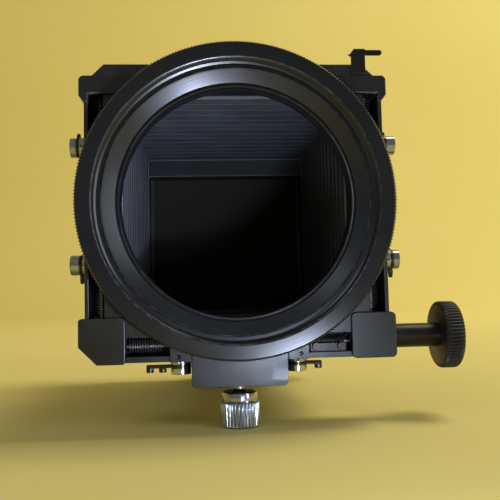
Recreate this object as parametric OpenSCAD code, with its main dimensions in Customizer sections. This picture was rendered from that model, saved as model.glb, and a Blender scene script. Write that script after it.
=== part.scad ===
// Bellows view camera, seen from the lens side with the lens taken off.
// The origin is the centre of the lens ring's front face, on the optical axis.
// +X is to the right seen from the front, +Y points back into the camera, +Z is up.

/* [Lens ring] */
// Outer diameter of the lens ring
ring_d = 100; // [99:0.5:101]
// Clear bore of the lens ring
ring_bore_d = 73; // [71:0.5:73.5]
// Radius of the threaded recess in the ring's face, which takes a lens or an adapter
thread_r = 44.2; // [44:0.1:44.4]
// Depth of that recess
thread_depth = 3.2; // [3:0.1:3.4]
// Thickness of the ring's flange
ring_flange_t = 5.4; // [5:0.1:5.4]
// Diameter of the ring's hub, which turns in the lens plate
ring_hub_d = 76.4; // [76:0.1:76.6]

/* [Lens plate] */
// Half width of the lens plate
plate_half_w = 41.7; // [41:0.1:41.9]
// Thickness of the lens plate
plate_t = 2.4; // [2:0.1:2.4]
// Rise and fall of the lens plate, each way
rise_travel = 3; // [1:0.5:3]
// Height of the four sliders above and below the axis
slider_z = 19; // [17:0.5:20]

/* [Front frame] */
// Distance from the ring's face to the front of the frame
frame_front = 5.8; // [5.6:0.1:5.8]
// Distance from the ring's face to the back of the corner blocks
frame_back = 18; // [17.8:0.1:18.2]
// Distance from the axis to the outer face of each side rail
rail_out = 47.5; // [47.4:0.1:47.8]
// Thickness of the side rails
rail_t = 1.2; // [1:0.1:1.2]
// Distance from the axis to each vertical guide rod
rod_x = 43.4; // [43.3:0.1:43.5]
// Depth of all guide rods behind the ring's face
rod_y = 13.2; // [13.1:0.1:13.3]
// Diameter of the guide rods
rod_d = 3; // [2.8:0.1:3]
// Outer diameter of the coil springs
spring_d = 4.4; // [4:0.1:4.4]
// Distance from the axis down to the cross rod
cross_rod_drop = 45.1; // [45:0.1:45.2]

/* [Bellows] */
// Clear width and height inside the bellows
bellows_in = 75; // [74:0.5:75]
// Depth of one pleat, crest to crest
pleat_pitch = 6.8; // [6:0.2:8]

/* [Focus rail] */
// Width of the rail
rail_w = 18; // [16:0.5:18]
// Height of the rail
rail_h = 5.4; // [5:0.1:5.4]
// Distance from the axis down to the top of the rail
rail_drop = 49.4; // [49.3:0.1:49.5]
// Length of the rail
rail_len = 138; // [134:1:150]
// Width of the bracket that slides on the rail
bracket_w = 29.8; // [28:0.2:30]

/* [Rear standard] */
// Distance from the ring's face to the front of the rear frame
rear_front = 120; // [118:1:122]
// Thickness of the rear frame
rear_t = 10; // [9:0.5:11]
// Half width of the rear frame
rear_half = 46; // [45:0.5:48]
// Height of the top edge of the rear frame's opening above the axis
gate_top = 29.5; // [28:0.5:34]

/* [Rise drive] */
// Module of the rack and pinion
gear_module = 0.5; // [0.5:0.05:0.5]
// Number of teeth on the pinion
pinion_teeth = 12; // [12:1:12]
// Diameter of the knob
knob_d = 22.4; // [20:0.2:24]
// Thickness of the knob
knob_t = 6.1; // [5:0.1:7]
// Distance from the axis to the knob's inner face
knob_in = 67.7; // [60:0.1:70]

/* [Hidden] */
$fn = 64;
gap = 0.3;                    // free gap between pieces that move past each other
slip = 0.05;                  // radial clearance of a running fit
ring_r = ring_d / 2;
bore_r = ring_bore_d / 2;
hub_r = ring_hub_d / 2;
hub_end = 11.4;               // depth of the hub's back end
boss_r = 39.5;                // boss between the flange and the lens plate
boss_y = 6.9;
clip_y = 9.55;                // front of the circlip
clip_t = 0.8;
plate_y = 7;                  // front of the lens plate
plate_back = plate_y + plate_t;
plate_top = 40;
plate_bottom = -42.1;
sheet_back = frame_front + 1; // back of the front sheets of the blocks and bridge
pocket_back = plate_back + 0.2;
rod_r = rod_d / 2;
bush_r = 2.1;
slider_w = 5;
slider_h = 8;
slider_back = 16;
rail_in = rail_out - rail_t;
block_in = 35.3;              // inner face of the lower corner blocks
block_out = 49.6;             // outer face of the corner blocks
block_top = -35.9;
block_bottom = -50.2;
upper_block_low = 34.8;
wedge_low = 32;              // where the upper block's outer wedge meets the side rail
upper_block_top = 40.6;
bridge_top = 44.5;
rear_seat_in = 41.2;          // the blocks stay outside this behind the lens plate
bar_front = 11.8;             // the bridge's rear bar, behind the ring's hub
flange_y = [18.4, 19.2];      // rear flange of each side rail, behind the sliders and the rack
flange_in = 40.9;
flange_top = 36;
apron_y = [17, 18];           // rear flange of each sill, behind the cross rod
apron_top = -42.2;
bellows_half = bellows_in / 2;
frame_half = 40.5;            // bellows front frame, outer half width
frame_y = [11.7, 17.6];
bellows_crest = 40.8;
bellows_neck = 38.6;
bellows_y = [frame_y[1], rear_front];
cross_z = -cross_rod_drop;
bracket_low = -57.9;
bracket_top = -42.7;
bracket_front_top = -46;
bracket_y = [frame_front, 46];
rail_top = -rail_drop;
rail_low = rail_top - rail_h;
rail_front = 10.2;
foot_z = -71.2;               // the lowest plane, which the camera stands on
thumb_y = 15;
thumb_r = 1.5;
shoe_r = 4;
shoe_t = 1;
catch_x = 18.6;               // axis of the catches' lock screws
catch_in = 15.3;
catch_out = 21.9;
catch_travel = 3;
catch_pin_r = 0.5;
catch_pin_y = 13.5;
catch_pin_z = -41.6;
strip_x = [22.5, 33.8];
strip_y = [8.2, 9.4];
strip_screws_x = [24.2, 32.2];
strip_screws_z = -46.4;
sill_top = -48;
sill_low = -49.8;
cover_screw = 42;             // the rear screws stand this far from the axis, both ways
rear_back = rear_front + rear_t;
holder_back = rear_back + 8;
slide_y = [rear_back + 1.2, rear_back + 2.2];
slide_half = 38.6;
block_y = [112, 142];
block_half = 18;
socket_y = 127;
pitch_r = gear_module * pinion_teeth / 2;
tooth_pitch = PI * gear_module;
knob_y = 20.7;
knob_z = -44.4;
shaft_r = 1.5;
stem_r = 4;                   // thick part of the knob's shaft
bush_out_r = 2.3;             // outside of the bushes that the shaft turns in
pitch_y = knob_y - pitch_r;   // where rack and pinion meet
rack_x = [41.9, 44.9];
lever_back = [18.2, 19.2];
lever_pin_r = 1;
lever_x = 39.6;
lever_z = 42.2;
black = [0.09, 0.09, 0.1];
dark = [0.16, 0.16, 0.17];
nickel = [0.8, 0.78, 0.72];
steel = [0.62, 0.63, 0.65];
bronze = [0.7, 0.52, 0.3];
cloth = [0.12, 0.12, 0.12];

// ---- helpers ----

// A box between two opposite corners.
module box(lo, hi) translate(lo) cube(hi - lo);

// Cylinders along each axis; the two numbers in the square brackets are the start and the end.
module rod_along_x(x, r, y, z) translate([x[0], y, z]) rotate([0, 90, 0]) cylinder(r = r, h = x[1] - x[0]);
module rod_along_y(y, r, x, z) translate([x, y[0], z]) rotate([-90, 0, 0]) cylinder(r = r, h = y[1] - y[0]);
module rod_along_z(z, r, x, y) translate([x, y, z[0]]) cylinder(r = r, h = z[1] - z[0]);

// An outline drawn in X and Z, made solid from y[0] to y[1].
module slab(y) translate([0, y[1], 0]) rotate([90, 0, 0]) linear_extrude(y[1] - y[0]) children();

// A rectangle with round corners.
module round_rect(lo, hi, r) {
    translate([lo[0] + r, lo[1]]) square([hi[0] - lo[0] - 2 * r, hi[1] - lo[1]]);
    translate([lo[0], lo[1] + r]) square([hi[0] - lo[0], hi[1] - lo[1] - 2 * r]);
    for (x = [lo[0] + r, hi[0] - r], z = [lo[1] + r, hi[1] - r]) translate([x, z]) circle(r);
}

// The child and its mirror image on the other side of the camera.
module both_sides() {
    children();
    mirror([1, 0, 0]) children();
}

// ---- lens ring ----

module lens_ring() color(black) rotate([-90, 0, 0]) rotate_extrude() polygon([
    [bore_r, hub_end], [hub_r, hub_end], [hub_r, clip_y + clip_t + 0.1], [hub_r - 0.6, clip_y + clip_t + 0.1],
    [hub_r - 0.6, clip_y - 0.05], [hub_r, clip_y - 0.05], [hub_r, boss_y], [boss_r, boss_y],
    [boss_r, ring_flange_t], [ring_r - 0.6, ring_flange_t], [ring_r, ring_flange_t - 0.6], [ring_r, 0.6],
    [ring_r - 0.6, 0], [thread_r, 0], [thread_r, thread_depth], [42.2, thread_depth + 0.3], [39.9, 4.4],
    [37.9, 5.5], [37.7, 6], [37.3, 6], [37.1, 5.5], [bore_r, 5.8]
]);

module ring_circlip() color(steel) difference() {
    rotate([-90, 0, 0]) rotate_extrude()
        translate([hub_r - 0.55, clip_y]) square([2, clip_t]);
    box([-2.5, clip_y - 1, hub_r - 3], [2.5, clip_y + clip_t + 1, hub_r + 4]);
}

// ---- lens plate, its sliders and the rack ----

module lens_plate() color(dark) difference() {
    slab([plate_y, plate_back]) {
        polygon([
            [-plate_half_w, plate_bottom], [plate_half_w, plate_bottom], [plate_half_w, plate_top - 4.5],
            [plate_half_w - 4.5, plate_top], [4.5 - plate_half_w, plate_top], [-plate_half_w, plate_top - 4.5]
        ]);
        for (z = [-slider_z, slider_z]) translate([-45.6, z - slider_h / 2]) square([91.2, slider_h]);
    }
    rod_along_y([plate_y - 1, plate_back + 1], hub_r + slip, 0, 0);
    at_plate_screws() rod_along_y([plate_y - 1, plate_back + 1], 0.7, 0, 0);
}

module at_plate_screws() both_sides()
    for (z = [-slider_z, slider_z], dz = [-2.6, 2.6]) translate([rod_x, 0, z + dz]) children();

module plate_screws() color(steel) at_plate_screws() {
    rod_along_y([plate_y - 0.9, plate_y], 1.3, 0, 0);
    rod_along_y([plate_y, plate_back + 1.2], 0.69, 0, 0);
}

module slider_blocks() color(dark) difference() {
    both_sides() for (z = [-slider_z, slider_z]) difference() {
        translate([rod_x - slider_w / 2, plate_back, z - slider_h / 2])
            cube([slider_w, slider_back - plate_back, slider_h]);
        rod_along_z([z - slider_h, z + slider_h], bush_r, rod_x, rod_y);
        rod_along_x([rod_x, rod_x + slider_w], 1.25, rod_y, z);
    }
    at_plate_screws() rod_along_y([plate_back - 1, plate_back + 1.2], 0.7, 0, 0);
}

module slider_bushes() color(bronze) both_sides() for (z = [-slider_z, slider_z], end = [-1, 1])
    difference() {
        rod_along_z([z + end * 2.8 - 1.2, z + end * 2.8 + 1.2], bush_r, rod_x, rod_y);
        rod_along_z([z - slider_h, z + slider_h], rod_r + slip, rod_x, rod_y);
    }

// Straight-sided rack teeth: thick at the root, thin at the tip.
module rack_tooth(z) polygon([
    [pitch_y - 0.6, z - 0.57], [pitch_y + 0.33, z - 0.23],
    [pitch_y + 0.33, z + 0.23], [pitch_y - 0.6, z + 0.57]
]);

module rise_rack() color(steel) {
    top = -slider_z + slider_h / 2;
    low = knob_z - 4.2;
    translate([rack_x[0], 0, 0]) rotate([90, 0, 90]) linear_extrude(rack_x[1] - rack_x[0]) {
        translate([slider_back, low]) square([pitch_y - 0.6 - slider_back, top - low]);
        for (i = [-3 : 4]) rack_tooth(knob_z + (i + 0.5) * tooth_pitch);
    }
}

// Each spring is a closed sleeve of the coil's outer and inner diameter.
module spring_sleeve_z(z, x) difference() {
    rod_along_z(z, spring_d / 2, x, rod_y);
    rod_along_z([z[0] - 1, z[1] + 1], spring_d / 2 - 0.6, x, rod_y);
}

module rise_springs() color(steel) both_sides() {
    spring_sleeve_z([block_top, -slider_z - slider_h / 2], rod_x);
    spring_sleeve_z([slider_z + slider_h / 2, upper_block_low], rod_x);
}

// ---- front frame ----

// A side rail with a flange behind the sliders, so that no light passes between it and the plate.
module side_rail() difference() {
    union() {
        box([rail_in, frame_front, block_top], [rail_out, frame_back, wedge_low]);
        box([rail_in, frame_back - 1, block_top], [rail_out, flange_y[1], wedge_low]);
        box([flange_in, flange_y[0], block_top], [rail_in + 0.5, flange_y[1], flange_top]);
    }
    for (z = [-slider_z, slider_z]) {
        box([rail_in - 1, rod_y - 1.6, z - rise_travel], [rail_out + 1, rod_y + 1.6, z + rise_travel]);
        for (end = [-1, 1]) rod_along_x([rail_in - 1, rail_out + 1], 1.6, rod_y, z + end * rise_travel);
    }
}

module left_rail() color(black) mirror([1, 0, 0]) side_rail();
module right_rail() color(black) side_rail();

// The bridge's front sheet also faces both upper corner blocks; above the blocks it leans back.
module top_bridge() color(black) difference() {
    union() {
        slab([frame_front, sheet_back]) {
            polygon([
                [-45, upper_block_low], [45, upper_block_low], [45, upper_block_top], [41.2, bridge_top],
                [-41.2, bridge_top], [-45, upper_block_top]
            ]);
            upper_outline(44);
            mirror([1, 0]) upper_outline(44);
        }
        box([-rear_seat_in, frame_front, bridge_top - 1.1], [rear_seat_in, frame_back, bridge_top]);
        box([-rear_seat_in, bar_front, 41], [rear_seat_in, frame_back, bridge_top]);
    }
    slab([frame_front - 1, sheet_back + 0.2]) {
        for (z = [-rise_travel, rise_travel]) translate([0, z]) circle(boss_r + gap);
        translate([-boss_r - gap, -rise_travel]) square([2 * boss_r + 2 * gap, 2 * rise_travel]);
    }
    translate([-50, 0, 0]) rotate([90, 0, 90]) linear_extrude(100) polygon([
        [frame_front - 1, upper_block_top + 0.2], [frame_front, upper_block_top + 0.2],
        [frame_front + 0.8, bridge_top + 0.1], [frame_front - 1, bridge_top + 0.1]
    ]);
    rod_along_y([frame_front - 1, frame_back + 1], lever_pin_r + slip, lever_x, lever_z);
}

// The upper block's outline from an inner edge outwards, with a wedge down to the side rail.
module upper_outline(inner) polygon([
    [inner, upper_block_low], [rail_in, upper_block_low], [rail_in, wedge_low], [rail_out, wedge_low],
    [49.2, 34.2], [49.2, upper_block_top - 1], [48.2, upper_block_top], [inner, upper_block_top]
]);

// Upper corner block: it closes the end of the bridge and holds the top of a guide rod.
module upper_block() difference() {
    union() {
        slab([sheet_back, frame_back]) upper_outline(42.3);
        slab([bar_front, frame_back]) upper_outline(rear_seat_in);
    }
    rod_along_z([upper_block_low - 1, 38], rod_r, rod_x, rod_y);
    rod_along_z([37.9, upper_block_top + 1], 1.3, rod_x, rod_y);
}

module corner_block_tl() color(black) mirror([1, 0, 0]) upper_block();
module corner_block_tr() color(black) upper_block();

// Lower corner block: a face sheet, a pocket that the lens plate's corner slides in, and a body
// that holds the ends of one vertical rod and of the cross rod.
module lower_block(back, outline_chamfer, corner_r) difference() {
    intersection() {
        slab([frame_front, back]) difference() {
            round_rect([block_in, block_bottom], [block_out, block_top], corner_r);
            polygon([
                [block_out - outline_chamfer, block_bottom - 1], [block_out + 1, block_bottom - 1],
                [block_out + 1, block_bottom + outline_chamfer], [block_out, block_bottom + outline_chamfer],
                [block_out - outline_chamfer, block_bottom]
            ]);
        }
        union() {
            box([0, frame_front, -60], [60, sheet_back, 0]);
            box([42.4, sheet_back, -60], [60, pocket_back, 0]);
            box([0, sheet_back, -60], [60, pocket_back, -46.5]);
            box([0, pocket_back, -60], [60, back, -rear_seat_in]);
            box([rear_seat_in, pocket_back, -60], [60, back, 0]);
        }
    }
    rod_along_z([-41, block_top + 1], rod_r, rod_x, rod_y);
    rod_along_z([block_bottom - 1, -40.9], 1.3, rod_x, rod_y);
    rod_along_x([block_in - 1, 39], rod_r, rod_y, cross_z);
}

module corner_block_bl() color(black) mirror([1, 0, 0]) lower_block(frame_back, 5.6, 1);

module corner_block_br() color(black) difference() {
    lower_block(25, 0.01, 1.6);
    box([rack_x[0] - gap, slider_back - gap, block_bottom - 1], [rack_x[1] + gap, pitch_y + 1, block_top + 1]);
    rod_along_x([rack_x[0] - gap, rack_x[1] + gap], 3.8, knob_y, knob_z);
    rod_along_x([37, block_out + 1], bush_out_r, knob_y, knob_z);
}

module guide_rods() color(steel) both_sides() rod_along_z([-41, 38], rod_r, rod_x, rod_y);

module cross_rod() color(steel) rod_along_x([-39, 39], rod_r, rod_y, cross_z);

// The two sills under the cross rod, each with a rear flange, and slots for the lock screws.
module bottom_sills() color(black) both_sides() difference() {
    union() {
        box([bracket_w / 2, frame_front + 0.9, sill_low], [block_in, frame_back, sill_top]);
        box([bracket_w / 2, apron_y[0], sill_low], [block_in, apron_y[1], apron_top]);
    }
    box([catch_x, rod_y - 1.6, sill_low - 1], [catch_x + catch_travel, rod_y + 1.6, sill_top + 1]);
    for (x = [catch_x, catch_x + catch_travel]) rod_along_z([sill_low - 1, sill_top + 1], 1.6, x, rod_y);
}

// A strip on the right sill with two screws: it keeps the right catch from turning.
module stop_strip() color(dark) difference() {
    union() {
        box([strip_x[0], strip_y[0], sill_top], [strip_x[1], strip_y[1], -45.4]);
        box([strip_x[0], strip_y[0], sill_top], [strip_x[1], strip_y[1] + 1.6, sill_top + 0.9]);
    }
    for (x = strip_screws_x) rod_along_y([strip_y[0] - 1, strip_y[1] + 1], 0.7, x, strip_screws_z);
}

module frame_screws() color(steel) {
    both_sides() rod_along_z([block_bottom + 0.3, -41.05], 1.29, rod_x, rod_y);
    both_sides() rod_along_z([38.05, upper_block_top - 0.3], 1.29, rod_x, rod_y);
    for (x = strip_screws_x) {
        rod_along_y([strip_y[0] - 1, strip_y[0]], 1.3, x, strip_screws_z);
        rod_along_y(strip_y, 0.69, x, strip_screws_z);
    }
}

// The bracket under the frame: closed at the front, open at the back for the rail.
module base_bracket() color(dark) difference() {
    union() {
        slab([frame_front, 9.8])
            round_rect([-bracket_w / 2, bracket_low], [bracket_w / 2, bracket_front_top], 1.6);
        slab([9.8, bracket_y[1]])
            round_rect([-bracket_w / 2, bracket_low], [bracket_w / 2, bracket_top], 1.6);
    }
    box([-rail_w / 2 - 0.05, rail_front - 0.1, rail_low - 0.05], [rail_w / 2 + 0.05, 60, rail_top + 0.05]);
    rod_along_x([-bracket_w, bracket_w], rod_r + 0.01, rod_y, cross_z);
    rod_along_z([rail_low - shoe_t - 0.5, rail_low + 1], shoe_r + 0.1, 0, thumb_y);
    rod_along_z([bracket_low - 1, rail_low], thumb_r + slip, 0, thumb_y);
}

// ---- rise drive ----

module shaft_bushes() color(bronze) for (x = [[37, 41], [45.8, block_out]]) difference() {
    rod_along_x(x, bush_out_r, knob_y, knob_z);
    rod_along_x([x[0] - 1, x[1] + 1], shaft_r + slip, knob_y, knob_z);
}

module knob_shaft() color(steel) {
    rod_along_x([37.2, block_out + 1], shaft_r, knob_y, knob_z);
    rod_along_x([block_out + 0.2, knob_in + 0.6], stem_r, knob_y, knob_z);
}

// Involute tooth: the half angle of a tooth at radius r, in degrees.
function involute(a) = tan(a) * 180 / PI - a;
function half_tooth(r) = 360 / pinion_teeth / 4 - 0.9 + involute(20)
    - involute(acos(min(1, pitch_r * cos(20) / r)));
pinion_root = pitch_r - 0.65;
pinion_tip = pitch_r + 0.4;
tooth_radii = [pinion_root, pitch_r * cos(20), pitch_r - 0.1, pitch_r, pitch_r + 0.2, pinion_tip];

module pinion_outline() polygon([
    for (i = [0 : pinion_teeth - 1], k = [0 : 2 * len(tooth_radii) - 1])
        let (
            rising = k < len(tooth_radii),
            r = tooth_radii[rising ? k : 2 * len(tooth_radii) - 1 - k],
            a = i * 360 / pinion_teeth + (rising ? -1 : 1) * half_tooth(r)
        )
        [r * cos(a), r * sin(a)]
]);

// One tooth points at the rack when the lens plate stands at its middle height.
module pinion() color(bronze) difference() {
    translate([rack_x[0], knob_y, knob_z]) rotate([90, 0, 90]) linear_extrude(rack_x[1] - rack_x[0])
        rotate(180) pinion_outline();
    rod_along_x([rack_x[0] - 1, rack_x[1] + 1], shaft_r, knob_y, knob_z);
}

module focus_knob() color(black) difference() {
    translate([knob_in, knob_y, knob_z]) rotate([0, 90, 0]) rotate_extrude() polygon([
        [0, 0], [knob_d / 2 - 0.8, 0], [knob_d / 2, 0.8], [knob_d / 2, knob_t - 0.8],
        [knob_d / 2 - 0.8, knob_t], [7.4, knob_t], [6.6, knob_t - 0.7], [0, knob_t - 0.7]
    ]);
    rod_along_x([knob_in - 1, knob_in + 0.6], stem_r, knob_y, knob_z);
}

// ---- sprung catches ----

// A block on the cross rod, with a face plate in front of the sill and a pin that enters the pad
// under the bellows frame.
module catch_block() difference() {
    union() {
        box([catch_in, 11.3, cross_z - 2.6], [catch_out, 15.5, cross_z + 2.6]);
        box([catch_in, 12, cross_z + 2], [catch_out - 2, 15, -40.9]);
        box([catch_in, frame_front + 0.2, cross_z - 2.6], [catch_in + 3.7, 12, cross_z - 0.5]);
        box([catch_in, frame_front - 0.1, sill_low - 0.1],
            [catch_out - 0.3, frame_front + 0.5, cross_z - 0.5]);
        rod_along_x([9.6, catch_in + 1], catch_pin_r, catch_pin_y, catch_pin_z);
    }
    rod_along_x([0, 60], rod_r + slip, rod_y, cross_z);
    rod_along_z([sill_top - 1, cross_z], 1.25, catch_x, rod_y);
    rod_along_y([0, 7], 0.6, catch_x + 0.4, -48.2);
}

module catch_left() color(dark) mirror([1, 0, 0]) catch_block();
module catch_right() color(dark) catch_block();

module catch_spring() difference() {
    rod_along_x([catch_out, block_in], spring_d / 2, rod_y, cross_z);
    rod_along_x([catch_out - 1, block_in + 1], spring_d / 2 - 0.6, rod_y, cross_z);
}

module catch_spring_left() color(steel) mirror([1, 0, 0]) catch_spring();
module catch_spring_right() color(steel) catch_spring();

// ---- lock screws: drawn along +Z from the rod's surface outward, then placed ----

lock_start = rod_r + 0.15;    // tip of the screw, just clear of the rod
lock_side = rail_out - rod_x; // from the rod's axis to the rail's outer face
lock_low = cross_z - sill_low; // from the cross rod's axis to the sill's lower face
lock_r = 3.3;
lock_core_r = 2.2;
lock_shank_r = 1.15;
tab_t = 1;

// A collar with a cross hole, a narrow core that the tab washer sits on, and a cap.
// face is where the frame's outer surface is, tab_at the washer's middle, and end the cap's outer face.
module lock_screw(face, tab_at, end) difference() {
    union() {
        translate([0, 0, lock_start]) cylinder(r = lock_shank_r, h = face + end - lock_start - 0.7);
        translate([0, 0, face + gap]) cylinder(r = lock_r, h = tab_at - tab_t / 2 - gap);
        translate([0, 0, face + gap]) cylinder(r = lock_core_r, h = end - 1);
        translate([0, 0, face + tab_at + tab_t / 2]) cylinder(r = lock_r - 0.1, h = end - tab_at - tab_t / 2);
    }
    translate([0, 5, face + (tab_at - tab_t / 2 + gap) / 2]) rotate([90, 0, 0]) cylinder(r = 0.4, h = 10);
    translate([0, 0, face + end - 0.6]) cylinder(r = 1, h = 1);
}

// A washer with a teardrop tab; the tab points along -X before it is placed. Each post stands on
// the tab, that far from its tip.
module lock_tab(face, tab_at, reach, posts = []) translate([0, 0, face + tab_at - tab_t / 2]) {
    difference() {
        linear_extrude(tab_t) {
            circle(lock_r);
            polygon([[0, -3.2], [-3.2, -1.5], [1.2 - reach, -1.2], [1.2 - reach, 1.2], [-3.2, 1.5], [0, 3.2]]);
            translate([1.2 - reach, 0]) circle(1.2);
        }
        translate([0, 0, -1]) cylinder(r = lock_core_r, h = 3);
    }
    for (back = posts) translate([back - reach, 0, 0]) cylinder(r = 1.2, h = 2.4);
}

// Places a child drawn along +Z on a side slider; up is 1 for an upper slider, -1 for a lower one.
module at_side(up) translate([rod_x, rod_y, up * slider_z]) rotate([0, 90, 0])
    rotate([0, 0, up > 0 ? 0 : 180]) children();
module at_catch() translate([catch_x, rod_y, cross_z]) rotate([180, 0, 0]) rotate([0, 0, 180]) children();

// Middle of the washer and end of the cap, from the frame's surface outward.
lock_ends = [2.9, 5.4];
lock_near_ends = [2, 5.4];
lock_low_ends = [1.9, 4.4];
tab_up = 4.7;
tab_down = 6;
tab_low_left = 11;
tab_low_right = 8.1;

module lock_screw_lu() color(nickel) mirror([1, 0, 0])
    at_side(1) lock_screw(lock_side, lock_ends[0], lock_ends[1]);
module lock_screw_ll() color(nickel) mirror([1, 0, 0])
    at_side(-1) lock_screw(lock_side, lock_near_ends[0], lock_near_ends[1]);
module lock_screw_ru() color(nickel)
    at_side(1) lock_screw(lock_side, lock_near_ends[0], lock_near_ends[1]);
module lock_screw_rl() color(nickel) at_side(-1) lock_screw(lock_side, lock_ends[0], lock_ends[1]);
module lock_screw_bl() color(nickel) mirror([1, 0, 0])
    at_catch() lock_screw(lock_low, lock_low_ends[0], lock_low_ends[1]);
module lock_screw_br() color(nickel) at_catch() lock_screw(lock_low, lock_low_ends[0], lock_low_ends[1]);
module lock_tab_lu() color(dark) mirror([1, 0, 0]) at_side(1) lock_tab(lock_side, lock_ends[0], tab_up);
module lock_tab_ll() color(dark) mirror([1, 0, 0])
    at_side(-1) lock_tab(lock_side, lock_near_ends[0], tab_down);
module lock_tab_ru() color(dark) at_side(1) lock_tab(lock_side, lock_near_ends[0], tab_up);
module lock_tab_rl() color(dark) at_side(-1) lock_tab(lock_side, lock_ends[0], tab_down);
module lock_tab_bl() color(dark) mirror([1, 0, 0])
    at_catch() lock_tab(lock_low, lock_low_ends[0], tab_low_left, [1.2, 5.2]);
module lock_tab_br() color(dark) at_catch() lock_tab(lock_low, lock_low_ends[0], tab_low_right, [1.2]);

// ---- release lever at the top right ----

// A finger lever in front of the bridge and a hook behind it turn together on one pin.
// The hook holds the top edge of the bellows frame.
module release_lever() color(dark) {
    slab([frame_front - 0.9, frame_front - 0.1]) translate([lever_x, lever_z]) {
        polygon([
            [-1.7, -1.4], [2.9, -1.4], [2.9, 6.8], [-0.7, 6.8], [-1.9, 5.2], [-2.6, 4.9], [-1.7, 4.2]
        ]);
        round_rect([1.5, 4.7], [8.4, 6.4], 0.8);
    }
    rod_along_y([frame_front - 0.2, lever_back[1]], lever_pin_r, lever_x, lever_z);
    slab(lever_back) round_rect([lever_x - 1.4, 38.9], [lever_x + 1.4, lever_z + 1.4], 1.3);
}

// ---- bellows ----

module bellows_front_frame() color(dark) difference() {
    union() {
        slab(frame_y) difference() {
            translate([-frame_half, -frame_half]) square(2 * frame_half);
            translate([-bellows_half, -bellows_half]) square(bellows_in);
        }
        box([-30, frame_y[0] + 0.5, bellows_half + 1], [30, frame_y[1] - 0.5, rear_seat_in - 0.2]);
        box([-12, frame_y[0] + 0.5, bracket_top], [12, frame_y[1] - 0.5, -bellows_half - 1]);
    }
    both_sides() rod_along_x([9, 13], catch_pin_r + gap, catch_pin_y, catch_pin_z);
}

// The pleats stand on a square tube; the last pleat meets the rear frame.
module bellows() color(cloth) difference() {
    union() {
        slab(bellows_y) translate([-bellows_neck, -bellows_neck]) square(2 * bellows_neck);
        for (y = [bellows_y[0] + 5 : pleat_pitch : bellows_y[1] - pleat_pitch / 2])
            slab([y, y + pleat_pitch / 2])
                translate([-bellows_crest, -bellows_crest]) square(2 * bellows_crest);
    }
    slab([bellows_y[0] - 1, bellows_y[1] + 1]) translate([-bellows_half, -bellows_half]) square(bellows_in);
}

// ---- rail clamp ----

module clamp_shoe() color(bronze) rod_along_z([rail_low - shoe_t - 0.02, rail_low - 0.02], shoe_r, 0, thumb_y);

module thumb_screw() color(nickel) translate([0, thumb_y, 0]) difference() {
    rotate_extrude() polygon([
        [0, rail_low - shoe_t - 0.05], [thumb_r, rail_low - shoe_t - 0.05], [thumb_r, -60.4], [5.3, -60.4],
        [5.7, -60.8], [5.7, -62.9], [5.1, -63.1], [6.2, -63.4], [6.5, -63.8], [6.4, foot_z + 0.4],
        [6, foot_z], [0, foot_z]
    ]);
    rod_along_z([foot_z - 1, foot_z + 1], 2, 0, 0);
}

// ---- rail and rear standard ----

module rail() color(black) difference() {
    box([-rail_w / 2, rail_front, rail_low], [rail_w / 2, rail_front + rail_len, rail_top]);
    for (side = [-1, 1]) translate([side * (rail_w / 2 + 0.4), 0, (rail_top + rail_low) / 2])
        box([-1, rail_front + 8, -0.7], [1, rail_front + rail_len - 8, 0.7]);
    for (y = [block_y[0] + 8, block_y[1] - 8]) rod_along_z([rail_low - 1, rail_top + 1], 1.6, 0, y);
}

module rear_block() color(black) difference() {
    union() {
        box([-block_half, block_y[0], foot_z], [block_half, block_y[1], -58]);
        box([-block_half + 3, block_y[0], -58], [block_half - 3, block_y[1], -rear_half]);
    }
    box([-rail_w / 2, block_y[0] - 1, rail_low], [rail_w / 2, block_y[1] + 1, rail_top]);
    rod_along_z([foot_z - 1, foot_z + 9], 4.5, 0, socket_y);
    for (y = [block_y[0] + 8, block_y[1] - 8]) rod_along_z([-58, -rear_half + 1], 1.6, 0, y);
}

module tripod_socket() color(steel) difference() {
    rod_along_z([foot_z, foot_z + 9], 4.5, 0, socket_y);
    rod_along_z([foot_z - 1, foot_z + 8], 2.55, 0, socket_y);
}

module at_cover_screws()
    for (x = [-cover_screw, cover_screw], z = [-cover_screw, cover_screw]) translate([x, 0, z]) children();

// The opening's upper edge stands lower than the bellows, as a mask over the top of the film.
module rear_frame() color(black) difference() {
    slab([rear_front, rear_back]) difference() {
        round_rect([-rear_half, -rear_half], [rear_half, rear_half], 3);
        translate([-bellows_half, -bellows_half]) square([bellows_in, bellows_half + gate_top]);
    }
    at_cover_screws() rod_along_y([rear_back - 5, rear_back + 1], 0.9, 0, 0);
}

module film_holder() color(dark) difference() {
    slab([rear_back, holder_back]) difference() {
        round_rect([-rear_half, -rear_half], [rear_half, rear_half + 3], 2);
        translate([-36, -36]) square(72);
    }
    box([-slide_half - 0.2, slide_y[0] - 0.1, -40], [slide_half + 0.2, slide_y[1] + 0.1, rear_half + 5]);
    box([-39, rear_back + 3.4, -39], [39, rear_back + 5, 39]);
    at_cover_screws() rod_along_y([rear_back - 1, holder_back + 1], 1, 0, 0);
}

module film_sheet() color([0.35, 0.36, 0.3])
    box([-38.8, rear_back + 3.5, -38.8], [38.8, rear_back + 3.7, 38.8]);

module septum_plate() color(steel) box([-38.8, rear_back + 3.75, -38.8], [38.8, rear_back + 4.9, 38.8]);

module dark_slide() color(black) {
    box([-slide_half, slide_y[0], -39.8], [slide_half, slide_y[1], rear_half + 5]);
    difference() {
        slab([slide_y[0] - 1, slide_y[1] + 1]) round_rect([-22, rear_half + 5], [22, rear_half + 12], 1.5);
        rod_along_y([rear_back, holder_back], 1.5, 0, rear_half + 8.5);
    }
}

module back_cover() color(black) difference() {
    slab([holder_back, holder_back + 3]) round_rect([-rear_half, -rear_half], [rear_half, rear_half], 3);
    at_cover_screws() rod_along_y([holder_back - 1, holder_back + 4], 1, 0, 0);
}

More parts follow.
